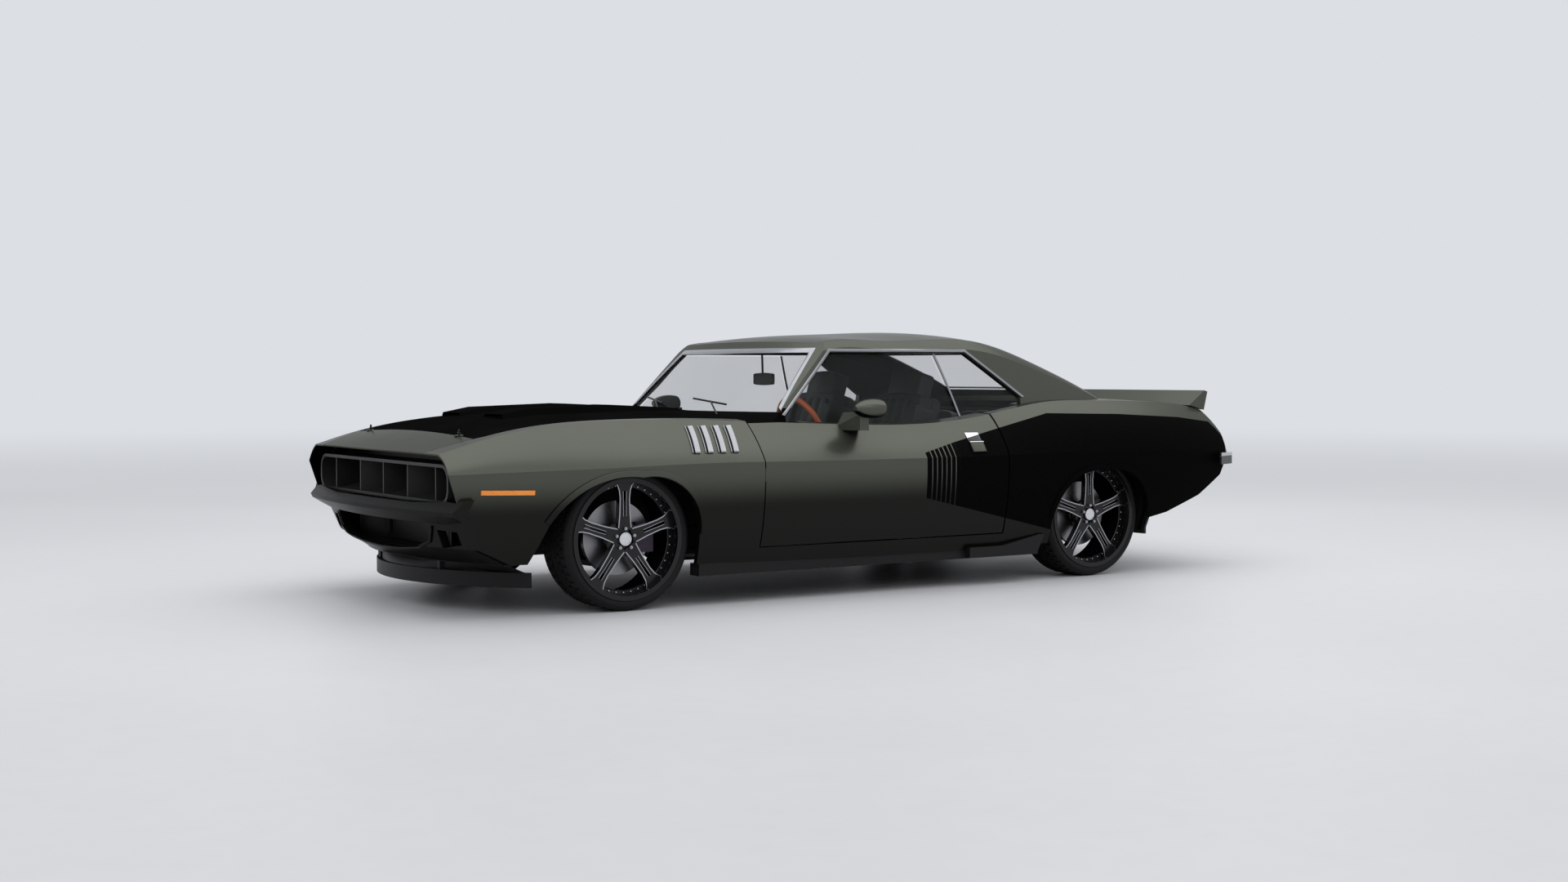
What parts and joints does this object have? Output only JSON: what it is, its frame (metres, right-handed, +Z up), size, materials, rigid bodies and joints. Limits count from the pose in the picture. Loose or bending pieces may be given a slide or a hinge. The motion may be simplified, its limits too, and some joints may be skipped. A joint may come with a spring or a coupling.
{
  "type": "two-door coupe car",
  "caption": "Long-hood fastback muscle coupe with black hood, ducktail spoiler, chin spoiler, spoked wheels, opening doors, hood and trunk, and working steering.",
  "frame": {"origin": "centre of the bounding box on the road plane under the tyres", "axes": "+X forward, +Y to the car's left, +Z up"},
  "size_m": [4.7, 2.036, 1.2633],
  "materials": {
    "body_paint": "gloss metallic",
    "hood_paint": "gloss",
    "black_trim": "satin",
    "glass": "clear",
    "lamp_glass": "clear",
    "red_lens": "gloss",
    "amber_lens": "gloss",
    "chrome": "polished",
    "underbody": "satin",
    "cast_iron": "rough",
    "steel": "dull",
    "radiator_core": "satin",
    "seat_cover": "satin",
    "wheel_rim_cover": "satin",
    "rim_metal": "satin",
    "disc_steel": "turned",
    "tyre": "matte"
  },
  "bodies": {
    "chassis": {"floor_pan": "underbody", "front_frame": "underbody", "trunk_floor": "underbody", "tow_eyes": "underbody", "sills": "body_paint", "fender_left": "body_paint", "fender_right": "body_paint", "cowl": "black_trim", "quarter_left": "body_paint", "quarter_right": "body_paint", "rear_deck": "body_paint", "roof": "body_paint", "tail_panel": "body_paint", "windscreen": "glass", "rear_glass": "glass", "quarter_glass": "glass", "grille": "black_trim", "headlamps": "lamp_glass", "front_bumper": "body_paint", "front_valance": "body_paint", "chin_spoiler": "black_trim", "radiator": "radiator_core", "tail_lamps": "red_lens", "rear_bumper": "chrome", "exhaust": "steel", "fuel_tank": "steel", "side_skirts": "black_trim", "fender_gills": "chrome", "side_markers": "amber_lens", "front_suspension": "cast_iron", "rear_axle": "cast_iron", "engine_block": "cast_iron", "seat_left": "seat_cover", "seat_right": "seat_cover", "rear_seat": "seat_cover", "dashboard": "black_trim"},
    "hood": {"hood": "hood_paint"},
    "trunk_lid": {"trunk_lid": "body_paint", "ducktail_spoiler": "body_paint"},
    "door_left": {"door_left": "body_paint", "door_glass_left": "glass", "mirror_left": "body_paint"},
    "door_right": {"door_right": "body_paint", "door_glass_right": "glass", "mirror_right": "body_paint"},
    "steering_wheel": {"steering_wheel": "wheel_rim_cover"},
    "knuckle_left": {"knuckle_left": "cast_iron"},
    "knuckle_right": {"knuckle_right": "cast_iron"},
    "wheel_front_left": {"rim_front_left": "rim_metal", "disc_front_left": "disc_steel", "tyre_front_left": "tyre"},
    "wheel_front_right": {"rim_front_right": "rim_metal", "disc_front_right": "disc_steel", "tyre_front_right": "tyre"},
    "wheel_rear_left": {"rim_rear_left": "rim_metal", "disc_rear_left": "disc_steel", "tyre_rear_left": "tyre"},
    "wheel_rear_right": {"rim_rear_right": "rim_metal", "disc_rear_right": "disc_steel", "tyre_rear_right": "tyre"}
  },
  "joints": [
    {"name": "steering_turn", "type": "hinge", "parent": "chassis", "child": "steering_wheel", "pos_m": [0.19, 0.365, 0.76], "axis": [-0.9272, 0, 0.3746], "range_deg": [-480, 480]},
    {"name": "steer_left", "type": "hinge", "parent": "chassis", "child": "knuckle_left", "pos_m": [1.452, 0.66, 0.318], "axis": [0, 0, 1], "range_deg": [-30, 30]},
    {"name": "steer_right", "type": "hinge", "parent": "chassis", "child": "knuckle_right", "pos_m": [1.452, -0.66, 0.318], "axis": [0, 0, 1], "range_deg": [-30, 30]},
    {"name": "spin_front_left", "type": "hinge", "parent": "knuckle_left", "child": "wheel_front_left", "pos_m": [1.452, 0.737, 0.318], "axis": [0, 1, 0], "continuous": true},
    {"name": "spin_front_right", "type": "hinge", "parent": "knuckle_right", "child": "wheel_front_right", "pos_m": [1.452, -0.737, 0.318], "axis": [0, 1, 0], "continuous": true},
    {"name": "spin_rear_left", "type": "hinge", "parent": "chassis", "child": "wheel_rear_left", "pos_m": [-1.291, 0.737, 0.318], "axis": [0, 1, 0], "continuous": true},
    {"name": "spin_rear_right", "type": "hinge", "parent": "chassis", "child": "wheel_rear_right", "pos_m": [-1.291, -0.737, 0.318], "axis": [0, 1, 0], "continuous": true},
    {"name": "door_left_swing", "type": "hinge", "parent": "chassis", "child": "door_left", "pos_m": [0.7905, 0.944, 0.586], "axis": [0, 0, -1], "range_deg": [0, 62]},
    {"name": "door_right_swing", "type": "hinge", "parent": "chassis", "child": "door_right", "pos_m": [0.7905, -0.944, 0.586], "axis": [0, 0, 1], "range_deg": [0, 62]},
    {"name": "hood_lift", "type": "hinge", "parent": "chassis", "child": "hood", "pos_m": [0.757, 0, 0.835], "axis": [0, -1, 0], "range_deg": [0, 50]},
    {"name": "trunk_lift", "type": "hinge", "parent": "chassis", "child": "trunk_lid", "pos_m": [-1.56, 0, 0.914], "axis": [0, 1, 0], "range_deg": [0, 60]}
  ],
  "couplings": [
    {"joint": "steer_left", "follows": "steering_turn", "ratio": 0.0625},
    {"joint": "steer_right", "follows": "steering_turn", "ratio": 0.0625}
  ]
}
